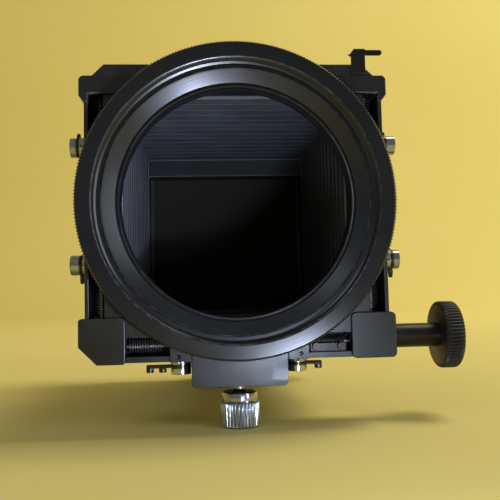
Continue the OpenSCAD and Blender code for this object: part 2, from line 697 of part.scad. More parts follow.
module back_clips() color(steel) both_sides() {
    box([rear_half, rear_back - 6, -9], [rear_half + 0.8, holder_back + 3.8, 9]);
    box([rear_half - 5, holder_back + 3, -9], [rear_half, holder_back + 3.8, 9]);
}

module rear_screws() color(steel) {
    at_cover_screws() {
        rod_along_y([holder_back + 3, holder_back + 4.2], 1.9, 0, 0);
        rod_along_y([rear_back - 5, holder_back + 3], 0.89, 0, 0);
    }
    for (y = [block_y[0] + 8, block_y[1] - 8]) rod_along_z([-58, -rear_half], 1.59, 0, y);
}

lens_ring();
ring_circlip();
lens_plate();
plate_screws();
slider_blocks();
slider_bushes();
rise_rack();
rise_springs();
left_rail();
right_rail();
top_bridge();
corner_block_tl();
corner_block_tr();
corner_block_bl();
corner_block_br();
guide_rods();
cross_rod();
bottom_sills();
stop_strip();
frame_screws();
base_bracket();
shaft_bushes();
knob_shaft();
pinion();
focus_knob();
catch_left();
catch_right();
catch_spring_left();
catch_spring_right();
lock_screw_lu();
lock_tab_lu();
lock_screw_ll();
lock_tab_ll();
lock_screw_ru();
lock_tab_ru();
lock_screw_rl();
lock_tab_rl();
lock_screw_bl();
lock_tab_bl();
lock_screw_br();
lock_tab_br();
release_lever();
bellows_front_frame();
bellows();
clamp_shoe();
thumb_screw();
rail();
rear_block();
tripod_socket();
rear_frame();
film_holder();
film_sheet();
septum_plate();
dark_slide();
back_cover();
back_clips();
rear_screws();
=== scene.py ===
"""The looks of a small bellows view camera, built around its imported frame.

The frame gives every machined part its shape and place. This script gives the machined parts
their broken edges and finishes, and models what the frame leaves plain: the knurled lens ring,
the ribbed knob, the knurled thumb screw, the coil springs and the pleated bellows.
Sizes in the classes are in millimetres; meshes are in metres.
"""

import logging
import math
from collections.abc import Sequence
from dataclasses import dataclass, field
from enum import Enum

import bmesh
import bpy
from mathutils import Matrix, Vector, noise
from mathutils.bvhtree import BVHTree
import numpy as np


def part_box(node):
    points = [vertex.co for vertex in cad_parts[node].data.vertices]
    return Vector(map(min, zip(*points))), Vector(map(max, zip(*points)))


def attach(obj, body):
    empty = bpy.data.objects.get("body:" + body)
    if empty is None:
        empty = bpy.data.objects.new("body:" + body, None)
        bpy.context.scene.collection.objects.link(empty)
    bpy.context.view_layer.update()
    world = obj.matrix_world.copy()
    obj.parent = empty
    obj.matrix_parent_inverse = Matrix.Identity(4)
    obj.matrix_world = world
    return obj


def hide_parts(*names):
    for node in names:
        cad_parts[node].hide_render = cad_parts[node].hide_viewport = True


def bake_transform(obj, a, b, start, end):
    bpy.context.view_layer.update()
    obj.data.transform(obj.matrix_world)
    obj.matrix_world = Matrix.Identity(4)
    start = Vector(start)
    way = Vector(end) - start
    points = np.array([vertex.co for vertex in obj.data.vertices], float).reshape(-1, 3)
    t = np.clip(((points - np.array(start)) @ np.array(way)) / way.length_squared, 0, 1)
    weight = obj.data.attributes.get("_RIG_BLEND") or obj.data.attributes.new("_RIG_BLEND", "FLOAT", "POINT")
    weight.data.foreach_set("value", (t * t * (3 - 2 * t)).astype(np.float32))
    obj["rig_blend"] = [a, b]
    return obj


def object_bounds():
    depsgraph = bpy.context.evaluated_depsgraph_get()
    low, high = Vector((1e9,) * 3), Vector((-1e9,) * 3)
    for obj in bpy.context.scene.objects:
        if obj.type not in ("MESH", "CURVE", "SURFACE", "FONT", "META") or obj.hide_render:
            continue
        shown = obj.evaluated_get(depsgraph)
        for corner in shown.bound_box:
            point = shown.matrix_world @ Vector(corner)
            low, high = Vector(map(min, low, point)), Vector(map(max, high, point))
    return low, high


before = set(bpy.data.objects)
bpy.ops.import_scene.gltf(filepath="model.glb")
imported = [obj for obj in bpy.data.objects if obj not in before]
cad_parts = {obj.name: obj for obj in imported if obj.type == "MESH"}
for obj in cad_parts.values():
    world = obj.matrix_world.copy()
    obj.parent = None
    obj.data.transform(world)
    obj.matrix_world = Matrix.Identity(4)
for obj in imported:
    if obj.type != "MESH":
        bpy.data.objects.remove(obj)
CAD_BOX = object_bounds()

MM = 0.001
LOG = logging.getLogger("bellows_camera")

Tree = bpy.types.NodeTree
Socket = bpy.types.NodeSocket
BMesh = bmesh.types.BMesh


class Body(Enum):
    """The rigid bodies that pieces ride on."""

    REAR = "rear_standard"
    FRONT = "front_standard"
    PLATE = "lens_plate"
    RING = "lens_ring"
    KNOB = "rise_knob"
    CATCH_LEFT = "catch_left"
    CATCH_RIGHT = "catch_right"
    LEVER = "release_lever"
    THUMB = "thumb_screw"
    DARK_SLIDE = "dark_slide"
    LOCK_LU = "lock_lu"
    LOCK_LL = "lock_ll"
    LOCK_RU = "lock_ru"
    LOCK_RL = "lock_rl"
    LOCK_BL = "lock_bl"
    LOCK_BR = "lock_br"


class Slot(Enum):
    """Names of the material slots that the finishes are meant for."""

    BLACK_ANODISED = "black_anodised"
    BLACK_PAINT = "black_paint"
    BLACK_STEEL = "black_steel"
    BLACK_PLASTIC = "black_plastic"
    STEEL = "steel"
    SPRING_STEEL = "spring_steel"
    NICKEL = "nickel"
    BRONZE = "bronze"
    LEATHER = "bellows_leather"
    FILM = "film"


class Axis(Enum):
    """Where a lathe's own Z axis points once the turned piece is placed."""

    X = Matrix.Rotation(math.radians(90), 4, "Y")
    Y = Matrix.Rotation(math.radians(-90), 4, "X")
    Z = Matrix.Identity(4)


# ---- node and colour helpers ----


def linear(hex_colour: str) -> tuple[float, float, float, float]:
    """Turns an sRGB hex colour into the linear values that shaders take.

    Args:
        hex_colour: Six hex digits, such as "1b1c1e".

    Returns:
        Red, green, blue and alpha.
    """
    channels = [int(hex_colour[i : i + 2], 16) / 255 for i in (0, 2, 4)]
    curve = [c / 12.92 if c <= 0.04045 else ((c + 0.055) / 1.055) ** 2.4 for c in channels]
    return (*curve, 1.0)


def add(tree: Tree, kind: str, inputs: dict | None = None, **settings: object) -> bpy.types.Node:
    """Adds a node with its settings and links.

    Args:
        tree: The node tree to add to.
        kind: The node's type, such as "ShaderNodeTexNoise".
        inputs: A value or an output socket for each named or numbered input.
        **settings: Properties of the node.

    Returns:
        The new node.
    """
    made = tree.nodes.new(kind)
    for name, value in settings.items():
        setattr(made, name, value)
    for name, value in (inputs or {}).items():
        if isinstance(value, Socket):
            tree.links.new(value, made.inputs[name])
        else:
            made.inputs[name].default_value = value
    return made


# ---- finishes ----


@dataclass(frozen=True)
class Finish:
    """A surface finish: two close tones, a gloss with small changes, and a fine relief.

    Attributes:
        name: The real material's name.
        slot: The material slot meant for it, or None for the stage; not used.
        tone: Main colour, sRGB hex.
        second: The colour that it drifts to in patches and grain.
        roughness: Middle roughness.
        roughness_swing: How far the roughness wanders either way.
        metallic: 1 for bare metal, 0 for the rest.
        grain_mm: Size of the fine relief's grain.
        relief_mm: Depth of the fine relief.
        patch_mm: Size of the slow patches of tone and gloss.
        wear: Share of the second tone on broken edges, from 0 to 1.
        rub_and_highlight_tone: Colour that shows where the edges are rubbed; on the lens ring's marked bands
            it is also a painted highlight.
        rub_mm: Size of the gaps between rubbed stretches of an edge.
        specks: How bright the few chips and dust specks on its faces are, from 0 to 1.
        speck_mm: Size of a speck.
        speck_gap_mm: Distance between groups of specks.
        coat: Weight of a clear coat.
        sheen: Weight of cloth sheen.
        specular: Specular level of the shader.
    """

    name: str
    slot: Slot | None
    tone: str
    second: str
    roughness: float
    roughness_swing: float = 0.06
    metallic: float = 0.0
    grain_mm: float = 0.25
    relief_mm: float = 0.006
    patch_mm: float = 9.0
    wear: float = 0.0
    rub_and_highlight_tone: str = "6a6b6e"
    rub_mm: float = 2.2
    specks: float = 0.0
    speck_mm: float = 0.7
    speck_gap_mm: float = 13.0
    coat: float = 0.0
    sheen: float = 0.0
    specular: float = 0.5

    def relief(self, tree: Tree, place: Socket) -> Socket:
        """Gives the fine relief's height; a finish with a pattern of its own overrides this."""
        grain = add(
            tree, "ShaderNodeTexNoise", {"Vector": place, "Scale": 1 / (self.grain_mm * MM), "Detail": 3.0}
        )
        return grain.outputs["Fac"]

    def build(self) -> bpy.types.Material:
        """Makes the material, once; later calls give the same one.

        Returns:
            The material.
        """
        found = bpy.data.materials.get(self.name)
        if found is not None:
            return found
        material = bpy.data.materials.new(self.name)
        material.use_nodes = True
        tree = material.node_tree
        tree.nodes.clear()
        place = add(tree, "ShaderNodeTexCoord").outputs["Object"]
        height = self.relief(tree, place)
        patches = add(
            tree,
            "ShaderNodeTexNoise",
            {"Vector": place, "Scale": 1 / (self.patch_mm * MM), "Detail": 4.0, "Roughness": 0.6},
        ).outputs["Fac"]
        drift = add(
            tree,
            "ShaderNodeMapRange",
            {"Value": patches, "From Min": 0.35, "From Max": 0.7, "To Min": 0.0, "To Max": 0.75},
        ).outputs[0]
        faint = add(tree, "ShaderNodeMath", {0: height, 1: 0.35}, operation="MULTIPLY").outputs[0]
        mixed = add(tree, "ShaderNodeMath", {0: drift, 1: faint}, operation="ADD", use_clamp=True)
        colour = add(
            tree,
            "ShaderNodeMix",
            {0: mixed.outputs[0], 6: linear(self.tone), 7: linear(self.second)},
            data_type="RGBA",
        ).outputs[2]
        if self.wear:
            colour = self.rubbed_and_highlit(tree, place, colour)
        gloss = add(
            tree,
            "ShaderNodeMapRange",
            {
                "Value": patches,
                "From Min": 0.3,
                "From Max": 0.7,
                "To Min": self.roughness - self.roughness_swing,
                "To Max": self.roughness + self.roughness_swing,
            },
        ).outputs[0]
        bump = add(
            tree, "ShaderNodeBump", {"Height": height, "Distance": self.relief_mm * MM, "Strength": 1.0}
        ).outputs[0]
        shader = add(
            tree,
            "ShaderNodeBsdfPrincipled",
            {
                "Base Color": colour,
                "Roughness": gloss,
                "Normal": bump,
                "Metallic": self.metallic,
                "Coat Weight": self.coat,
                "Sheen Weight": self.sheen,
                "Specular IOR Level": self.specular,
            },
        )
        add(tree, "ShaderNodeOutputMaterial", {"Surface": shader.outputs[0]})
        return material

    def rubbed_and_highlit(self, tree: Tree, place: Socket, colour: Socket) -> Socket:
        """Lets the pale edge tone show along the edges marked by the attribute "edge", and in specks: rubbed
        metal, and on the lens ring also a painted highlight along its thin edges.

        Args:
            tree: The material's node tree.
            place: Object coordinates.
            colour: The colour of the unworn surface.

        Returns:
            The colour with its wear.
        """
        edge = add(tree, "ShaderNodeAttribute", attribute_name="edge").outputs["Fac"]
        rub = add(
            tree,
            "ShaderNodeTexNoise",
            {"Vector": place, "Scale": 1 / (self.rub_mm * MM), "Detail": 5.0},
        ).outputs["Fac"]
        broken = add(
            tree,
            "ShaderNodeMapRange",
            {"Value": rub, "From Min": 0.42, "From Max": 0.62, "To Min": 0.0, "To Max": self.wear},
        ).outputs[0]
        share = add(tree, "ShaderNodeMath", {0: edge, 1: broken}, operation="MULTIPLY").outputs[0]
        if self.specks:
            chips = self.chips(tree, place)
            share = add(tree, "ShaderNodeMath", {0: share, 1: chips}, operation="MAXIMUM").outputs[0]
        return add(
            tree,
            "ShaderNodeMix",
            {0: share, 6: colour, 7: linear(self.rub_and_highlight_tone)},
            data_type="RGBA",
        ).outputs[2]

    def chips(self, tree: Tree, place: Socket) -> Socket:
        """Scatters a few specks, in groups that a slow noise allows.

        Args:
            tree: The material's node tree.
            place: Object coordinates.

        Returns:
            How far each point shows the worn tone, from 0 to 1.
        """
        fine = add(
            tree,
            "ShaderNodeTexNoise",
            {"Vector": place, "Scale": 1 / (self.speck_mm * MM), "Detail": 2.0},
        ).outputs["Fac"]
        slow = add(
            tree,
            "ShaderNodeTexNoise",
            {"Vector": place, "Scale": 1 / (self.speck_gap_mm * MM), "Detail": 1.0},
        ).outputs["Fac"]
        where = add(
            tree,
            "ShaderNodeMapRange",
            {"Value": slow, "From Min": 0.58, "From Max": 0.72, "To Min": 0.88, "To Max": 0.74},
        ).outputs[0]
        over = add(tree, "ShaderNodeMath", {0: fine, 1: where}, operation="SUBTRACT").outputs[0]
        return add(
            tree,
            "ShaderNodeMapRange",
            {"Value": over, "From Min": 0.0, "From Max": 0.03, "To Min": 0.0, "To Max": self.specks},
        ).outputs[0]


@dataclass(frozen=True)
class TurnedFinish(Finish):
    """A finish with the fine circular lines that a lathe tool leaves.

    Attributes:
        axis: The two Object coordinates that the radius is measured in, such as "XZ".
        centre: The turning axis, in millimetres.
        line_mm: Distance between tool lines, drawn coarser than the real 0.05 mm so that they show.
    """

    axis: str = "XZ"
    centre: tuple[float, float, float] = (0.0, 0.0, 0.0)
    line_mm: float = 0.45

    def relief(self, tree: Tree, place: Socket) -> Socket:
        """Gives the height of the tool lines, mixed with a little grain.

        Args:
            tree: The material's node tree.
            place: Object coordinates.

        Returns:
            The height, from 0 to 1.
        """
        middle = add(
            tree,
            "ShaderNodeVectorMath",
            {0: place, 1: tuple(c * MM for c in self.centre)},
            operation="SUBTRACT",
        ).outputs[0]
        flat = add(
            tree,
            "ShaderNodeVectorMath",
            {0: middle, 1: tuple(1.0 if letter in self.axis else 0.0 for letter in "XYZ")},
            operation="MULTIPLY",
        ).outputs[0]
        radius = add(tree, "ShaderNodeVectorMath", {0: flat}, operation="LENGTH").outputs["Value"]
        lines = add(
            tree,
            "ShaderNodeTexNoise",
            {"W": radius, "Scale": 1 / (self.line_mm * MM), "Detail": 2.0},
            noise_dimensions="1D",
        ).outputs["Fac"]
        grain = super().relief(tree, place)
        return add(tree, "ShaderNodeMix", {0: 0.3, 2: lines, 3: grain}, data_type="FLOAT").outputs[0]


@dataclass(frozen=True)
class BrushedFinish(Finish):
    """A finish with long straight scratches along one axis.

    Attributes:
        along: The axis that the scratches run along, 0 for X, 1 for Y or 2 for Z.
    """

    along: int = 2

    def relief(self, tree: Tree, place: Socket) -> Socket:
        """Gives the height of the scratches: grain stretched twenty times along one axis.

        Args:
            tree: The material's node tree.
            place: Object coordinates.

        Returns:
            The height, from 0 to 1.
        """
        stretch = tuple(0.05 if i == self.along else 1.0 for i in range(3))
        longer = add(tree, "ShaderNodeMapping", {"Vector": place, "Scale": stretch}).outputs[0]
        return super().relief(tree, longer)


@dataclass(frozen=True)
class GrainedCloth(Finish):
    """Leathercloth: small rounded pebbles with creases between them."""

    def relief(self, tree: Tree, place: Socket) -> Socket:
        """Gives the height of the pebbles."""
        cells = add(
            tree,
            "ShaderNodeTexVoronoi",
            {"Vector": place, "Scale": 1 / (self.grain_mm * MM), "Smoothness": 0.5},
            feature="SMOOTH_F1",
        ).outputs["Distance"]
        return add(tree, "ShaderNodeMath", {0: 1.0, 1: cells}, operation="SUBTRACT").outputs[0]


# Black anodised aluminium, bead blasted: satin, faintly grey, with bare metal on rubbed edges.
ANODISED = Finish(
    "black anodised aluminium", Slot.BLACK_ANODISED, "101215", "18191c", 0.4, wear=0.5, rub_and_highlight_tone="55575a"
)
# The lens ring is turned before it is anodised, so its gloss runs in circles round the bore.
# The pale edge tone on its marked bands is rubbed anodising and a painted highlight along the thin edges
# together.
RING_ANODISED = TurnedFinish(
    "turned black anodised aluminium", Slot.BLACK_ANODISED, "0c0e11", "14171b", 0.22, 0.02,
    relief_mm=0.008, patch_mm=26, wear=0.16, rub_and_highlight_tone="6d7176", specks=0.8,
)
# Satin black paint: a cool cast and a slight orange-peel.
SATIN_PAINT = Finish(
    "satin black paint", Slot.BLACK_PAINT, "0f1318", "181d24", 0.36,
    grain_mm=0.6, relief_mm=0.01, wear=0.4, coat=0.15,
)
# Oxidised steel: brown-black, a little glossier than anodising.
OXIDE_STEEL = Finish(
    "black oxide steel", Slot.BLACK_STEEL, "1b1a18", "2c2925", 0.36,
    metallic=0.6, grain_mm=0.4, relief_mm=0.004, wear=0.6,
)
# Ground steel rods: bright, with fine scratches along their length.
GROUND_STEEL = BrushedFinish(
    "ground steel", Slot.STEEL, "9a9b9c", "7f8082", 0.24, metallic=1.0, grain_mm=0.12, relief_mm=0.002
)
# Spring wire: drawn, darkened by oil.
SPRING_WIRE = Finish(
    "oiled spring steel", Slot.SPRING_STEEL, "76777a", "4c4c4e", 0.36,
    metallic=0.75, grain_mm=0.3, relief_mm=0.002,
)
# Nickel plate: cool, bright, with faint finger smudges in its gloss.
NICKEL = Finish(
    "polished nickel plate", Slot.NICKEL, "c3c9d4", "8f959f", 0.17, 0.05,
    metallic=1.0, grain_mm=0.4, relief_mm=0.0015, patch_mm=3.0,
)
# The tab washers: nickel gone dark, bright again where fingers rub the edges.
DARK_NICKEL = Finish(
    "darkened nickel plate", Slot.BLACK_STEEL, "4a463f", "2b2925", 0.26,
    metallic=0.9, grain_mm=0.5, relief_mm=0.003, patch_mm=2.5, wear=0.85, rub_and_highlight_tone="b4afa5",
)
# Bronze: brown-gold, dulled by oil.
BRONZE = Finish(
    "machined bronze", Slot.BRONZE, "a07a45", "7c5b30", 0.33, metallic=1.0, grain_mm=0.3, relief_mm=0.003
)
# The knob's hard black plastic, matt between its ribs.
HARD_PLASTIC = Finish(
    "moulded black phenolic", Slot.BLACK_PLASTIC, "131416", "1c1d1f", 0.36, grain_mm=0.35, relief_mm=0.006
)
# Crackle paint on the rear frame: a coarse wrinkle of about 1 mm.
WRINKLE_PAINT = Finish(
    "black wrinkle paint", Slot.BLACK_PAINT, "131416", "1e1f22", 0.5,
    grain_mm=0.9, relief_mm=0.12, wear=0.3, rub_and_highlight_tone="3c3d40", specular=0.35,
)
# Bellows cloth: coated black, dead matt in the folds and slightly blue where the light grazes it.
BELLOWS_CLOTH = GrainedCloth(
    "black leathercloth", Slot.LEATHER, "1c1e23", "2a2e35", 0.48,
    grain_mm=0.5, relief_mm=0.035, sheen=0.3, patch_mm=14,
)
# The back's covering is the same cloth with a larger grain.
BACK_CLOTH = GrainedCloth(
    "grained leathercloth", Slot.LEATHER, "111112", "1b1b1c", 0.55,
    grain_mm=1.1, relief_mm=0.16, patch_mm=14,
)
# Dark slide: hard black fibre sheet with its fibres upright; its olive cast is painted light, a warm sheen
# put into its tones.
FIBRE_SHEET_PAINTED_SHEEN = BrushedFinish(
    "black vulcanised fibre", Slot.BLACK_PLASTIC, "17150c", "201d11", 0.7,
    grain_mm=0.3, relief_mm=0.006, specular=0.25,
)
# The back of a sheet of film: grey-green and satin.
FILM = Finish("film base", Slot.FILM, "4a4d42", "3f4238", 0.3, relief_mm=0.001)
# Straw-coloured background paper: quite matt, with very slow changes of tone.
STRAW_PAPER = Finish("straw paper", None, "e0d48a", "dccf82", 0.85, relief_mm=0.0, patch_mm=900)


# ---- mesh helpers ----


def whole_turn(made: BMesh, geom: list, steps: int) -> None:
    """Spins points and edges once about Z and joins the last step to the first."""
    bmesh.ops.spin(
        made,
        geom=geom,
        cent=(0, 0, 0),
        axis=(0, 0, 1),
        dvec=(0, 0, 0),
        angle=math.tau,
        steps=steps,
        use_merge=True,
    )


def lathe(outline: Sequence[tuple[float, float]], steps: int, closed: bool = True) -> BMesh:
    """Turns an outline about Z.

    Args:
        outline: Points of radius and height, in millimetres.
        steps: Number of steps in a full turn.
        closed: True if the last point joins the first; False if both ends lie on the axis.

    Returns:
        The turned mesh, in metres, with its normals outwards.
    """
    made = bmesh.new()
    points = [made.verts.new((radius * MM, 0.0, height * MM)) for radius, height in outline]
    ends = points[1:] + points[:1] if closed else points[1:]
    edges = [made.edges.new(pair) for pair in zip(points, ends)]
    whole_turn(made, points + edges, steps)
    bmesh.ops.remove_doubles(made, verts=made.verts, dist=1e-7)
    bmesh.ops.recalc_face_normals(made, faces=made.faces)
    return made


def rib(made: BMesh, count: int, depth: float, inner: float, span: tuple[float, float]) -> None:
    """Cuts straight ribs into a turned mesh by moving its rim in and out.

    Args:
        made: A mesh turned about Z with a whole number of steps for each rib.
        count: Number of ribs.
        depth: Depth of the grooves, in millimetres.
        inner: Only points further out than this take part, in millimetres.
        span: Lowest and highest height that takes part, in millimetres.
    """
    for vert in made.verts:
        radius = math.hypot(vert.co.x, vert.co.y)
        if radius > inner * MM and span[0] * MM <= vert.co.z <= span[1] * MM:
            wave = (1 - math.cos(count * math.atan2(vert.co.y, vert.co.x))) / 2
            # steeper than a wave and cut off at both ends, for flat tops and flat grooves
            groove = min(1.0, max(0.0, 1.6 * wave - 0.3))
            share = 1 - depth * MM * groove / radius
            vert.co.x *= share
            vert.co.y *= share


def placed(made: BMesh, axis: Axis, at: Sequence[float]) -> BMesh:
    """Points a turned mesh along an axis and moves it to a place given in millimetres."""
    made.transform(Matrix.Translation(Vector(at) * MM) @ axis.value)
    return made


def block(low: Sequence[float], high: Sequence[float], edge: float) -> BMesh:
    """Makes a box with rounded edges.

    Args:
        low: Lowest corner, in millimetres.
        high: Highest corner, in millimetres.
        edge: Radius of the edges, in millimetres.

    Returns:
        The mesh, in metres.
    """
    made = bmesh.new()
    bmesh.ops.create_cube(made, size=1.0)
    middle = (Vector(low) + Vector(high)) / 2 * MM
    size = (Vector(high) - Vector(low)) * MM
    made.transform(Matrix.Translation(middle) @ Matrix.Diagonal((*size, 1.0)))
    bmesh.ops.bevel(
        made, geom=made.edges[:], offset=edge * MM, segments=2, profile=0.5, affect="EDGES", material=-1
    )
    return made


def break_edges(source: BMesh, width: float, limit: float, clamp: bool) -> BMesh:
    """Copies a mesh and bevels its sharp edges.

    Args:
        source: The mesh to copy.
        width: Width of the broken edge, in metres.
        limit: Edges that turn by more than this many radians are broken.
        clamp: True to hold the bevel back wherever edges stand close.

    Returns:
        The copy, with the attribute "edge" set to 1 on the broken edges.
    """
    made = source.copy()
    mark = made.faces.layers.float["edge"]
    sharp = [e for e in made.edges if len(e.link_faces) == 2 and e.calc_face_angle(0.0) > limit]
    result = bmesh.ops.bevel(
        made,
        geom=sharp,
        offset=width,
        segments=2,
        profile=0.5,
        affect="EDGES",
        clamp_overlap=clamp,
        material=-1,
    )
    broken = set(result["faces"])
    for face in broken:
        face[mark] = 1.0
    for line in made.edges:
        if len(line.link_faces) == 2 and (line.link_faces[0] in broken) != (line.link_faces[1] in broken):
            line.smooth = False
    return made


def machined(node: str, edge: float = 0.2, sharper_than: float = 38.0) -> BMesh:
    """Copies a CAD node and breaks its sharp edges, as a file or a cutter would.

    The edge is made narrower where its full width would throw a corner off the part.

    Args:
        node: The CAD node's name.
        edge: Width of the broken edge, in millimetres.
        sharper_than: Edges that turn by more than this many degrees are broken.

    Returns:
        The mesh, with the attribute "edge" set to 1 on the broken edges.
    """
    source = bmesh.new()
    source.from_mesh(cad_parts[node].data)
    bmesh.ops.remove_doubles(source, verts=source.verts, dist=2e-6)
    bmesh.ops.dissolve_limit(
        source,
        angle_limit=math.radians(0.5),
        verts=source.verts,
        edges=source.edges,
        use_dissolve_boundaries=False,
    )
    source.faces.layers.float.new("edge")
    surface = BVHTree.FromBMesh(source)
    limit = math.radians(sharper_than)
    tries = [(edge * share * MM, False) for share in (1.0, 0.6, 0.35, 0.2)] + [(edge * MM, True)]
    for width, clamp in tries:
        made = break_edges(source, width, limit, clamp)
        if clamp or all(surface.find_nearest(vert.co)[3] < 1.2 * width for vert in made.verts):
            break
        made.free()
    if width < edge * MM or clamp:
        LOG.info("%s: edges broken by %.3f mm, clamped: %s", node, width / MM, clamp)
    source.free()
    return made


def piece(
    name: str,
    made: BMesh,
    body: Body | None,
    finish: Finish,
    replaces: Sequence[str] = (),
    crease: float = 38.0,
) -> bpy.types.Object:
    """Makes a finished mesh into a piece of the camera.

    Args:
        name: The piece's name.
        made: Its mesh, already in place; it is freed.
        body: The body that it rides on, or None if it is to bend between two.
        finish: Its finish.
        replaces: CAD nodes that it stands for.
        crease: Edges that turn by more than this many degrees stay sharp.

    Returns:
        The new object.
    """
    limit = math.radians(crease)
    for face in made.faces:
        face.smooth = True
    for line in made.edges:
        if len(line.link_faces) == 2 and line.calc_face_angle(0.0) > limit:
            line.smooth = False
    mesh = bpy.data.meshes.new(name)
    made.to_mesh(mesh)
    made.free()
    mesh.materials.append(finish.build())
    made_object = bpy.data.objects.new(name, mesh)
    bpy.context.scene.collection.objects.link(made_object)
    if body is not None:
        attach(made_object, body.value)
    if replaces:
        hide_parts(*replaces)
    LOG.info("%s: %d faces, rides on %s", name, len(mesh.polygons), body.value if body else "two bodies")
    return made_object


def dress(node: str, body: Body, finish: Finish, edge: float = 0.2) -> bpy.types.Object:
    """Stands a broken-edged copy in for a CAD node, in the given finish."""
    return piece(f"{node}_finished", machined(node, edge), body, finish, (node,))


def middle_of(node: str) -> Vector:
    """Gives the middle of a CAD node's box, in millimetres."""
    low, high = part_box(node)
    return (low + high) / 2 / MM


# ---- sub-assemblies ----


@dataclass
class LensRing:
    """The knurled ring: flange, threaded recess, dished seat, lip and threaded bore.

    Attributes:
        rim: Outer radius.
        recess: Radius of the threaded recess in its face.
        bore: Radius of the clear bore.
        hub: Radius of the hub behind the flange.
        flange: Thickness of the flange.
        depth: Length from the face to the hub's end.
        knurls: Number of teeth round the rim, 1 mm apart.
        knurl_depth: Depth of the grooves between them.
        thread: Pitch of both threads.
        rubbed_and_highlit: Bands of radius that take the pale edge tone, rubbed anodising with a painted
            highlight on it: the recess's mouth, two steps, the rim.
    """

    rim: float = 50.0
    recess: float = 44.2
    bore: float = 36.5
    hub: float = 38.2
    flange: float = 5.4
    depth: float = 11.4
    knurls: int = 300
    knurl_depth: float = 0.42
    thread: float = 0.75
    rubbed_and_highlit: tuple[tuple[float, float], ...] = ((44.4, 44.9), (42.05, 42.4), (36.9, 37.2), (49.5, 50.0))

    def threads(self, radius: float, start: float, end: float, cut: float) -> list[tuple[float, float]]:
        """Gives the outline of a V thread down a wall.

        Args:
            radius: Radius of the thread's crests.
            start: Depth at which it starts.
            end: Depth at which it ends.
            cut: Depth of the V, positive outwards.

        Returns:
            Outline points, from start to end.
        """
        turns = int((end - start) / self.thread)
        points = []
        for turn in range(turns):
            low = start + turn * self.thread
            points += [(radius, low), (radius + cut, low + 0.5 * self.thread)]
        return [*points, (radius, start + turns * self.thread)]

    def outline(self) -> list[tuple[float, float]]:
        """Gives the ring's outline from the hub's end round the rim to the bore.

        Each corner has a point close by on either side, which keeps the flats beside it flat.

        Returns:
            Points of radius and depth behind the face, in millimetres.
        """
        # the hub with its circlip groove, the shoulder that centres the ring, and the flange's back
        back = [
            (self.bore + 0.25, self.depth),
            (self.hub - 0.2, self.depth),
            (self.hub, self.depth - 0.2),
            (self.hub, 10.45),
            (self.hub - 0.6, 10.45),
            (self.hub - 0.6, 9.5),
            (self.hub, 9.5),
            (self.hub, 6.9),
            (39.5, 6.9),
            (39.5, self.flange),
            (self.rim - 1.3, self.flange),
            (self.rim - 0.9, self.flange),
        ]
        rim = [
            (self.rim - 0.45, self.flange - 0.15),
            (self.rim - 0.12, self.flange - 0.5),
            (self.rim, self.flange - 0.9),
            (self.rim, 0.9),
            (self.rim - 0.12, 0.5),
            (self.rim - 0.45, 0.12),
            (self.rim - 0.8, 0.0),
            (self.rim - 1.1, 0.0),
        ]
        mouth = [(45.2, 0.0), (44.95, 0.0), (44.7, 0.06), (44.5, 0.22)]
        recess = self.threads(self.recess, 0.5, 2.9, 0.32)
        # the recess's floor, a low bead, and the dish that falls to the bore
        seat = [
            (self.recess, 3.2),
            (43.6, 3.55),
            (42.55, 3.58),
            (42.42, 3.5),
            (42.36, 3.26),
            (42.2, 3.2),
            (42.0, 3.24),
            (41.8, 3.34),
            (40.3, 4.12),
            (39.4, 4.58),
            (38.2, 5.2),
            (37.95, 5.33),
        ]
        groove = [(37.85, 5.75), (37.7, 6.05), (37.45, 6.1), (37.3, 5.95), (37.25, 5.6)]
        lip = [(37.15, 5.42), (36.95, 5.36), (36.72, 5.42), (self.bore + 0.02, 5.65)]
        wall = [(self.bore, 6.1), *self.threads(self.bore, 6.5, 11.0, 0.28)]
        return [*back, *rim, *mouth, *recess, *seat, *groove, *lip, *wall]

    def build(self) -> None:
        """Turns the ring, knurls its rim and makes its circlip."""
        made = lathe(self.outline(), self.knurls * 3)
        rib(made, self.knurls, self.knurl_depth, self.rim - 0.5, (0.1, self.flange - 0.1))
        # the marked bands take the pale edge tone: rubbed anodising, and a painted highlight along the thin
        # edges there
        mark = made.faces.layers.float.new("edge")
        for face in made.faces:
            middle = face.calc_center_median()
            radius = math.hypot(middle.x, middle.y) / MM
            face[mark] = 1.0 if any(low < radius < high for low, high in self.rubbed_and_highlit) else 0.0
        placed(made, Axis.Y, (0, 0, 0))
        piece("knurled_ring", made, Body.RING, RING_ANODISED, ("lens_ring",), crease=28)
        dress("ring_circlip", Body.RING, OXIDE_STEEL, 0.08)


@dataclass
class LensPlate:
    """The sprung plate that carries the ring, with its four sliders and the rack.

    Attributes:
        edge: Width of the broken edges of the plate and its sliders.
    """

    edge: float = 0.18

    def build(self) -> None:
        """Finishes the plate, its sliders, bushes and screws, and the rack."""
        dress("lens_plate", Body.PLATE, ANODISED, self.edge)
        dress("slider_blocks", Body.PLATE, ANODISED, self.edge)
        dress("slider_bushes", Body.PLATE, BRONZE, 0.06)
        dress("plate_screws", Body.PLATE, OXIDE_STEEL, 0.1)
        dress("rise_rack", Body.PLATE, GROUND_STEEL, 0.04)


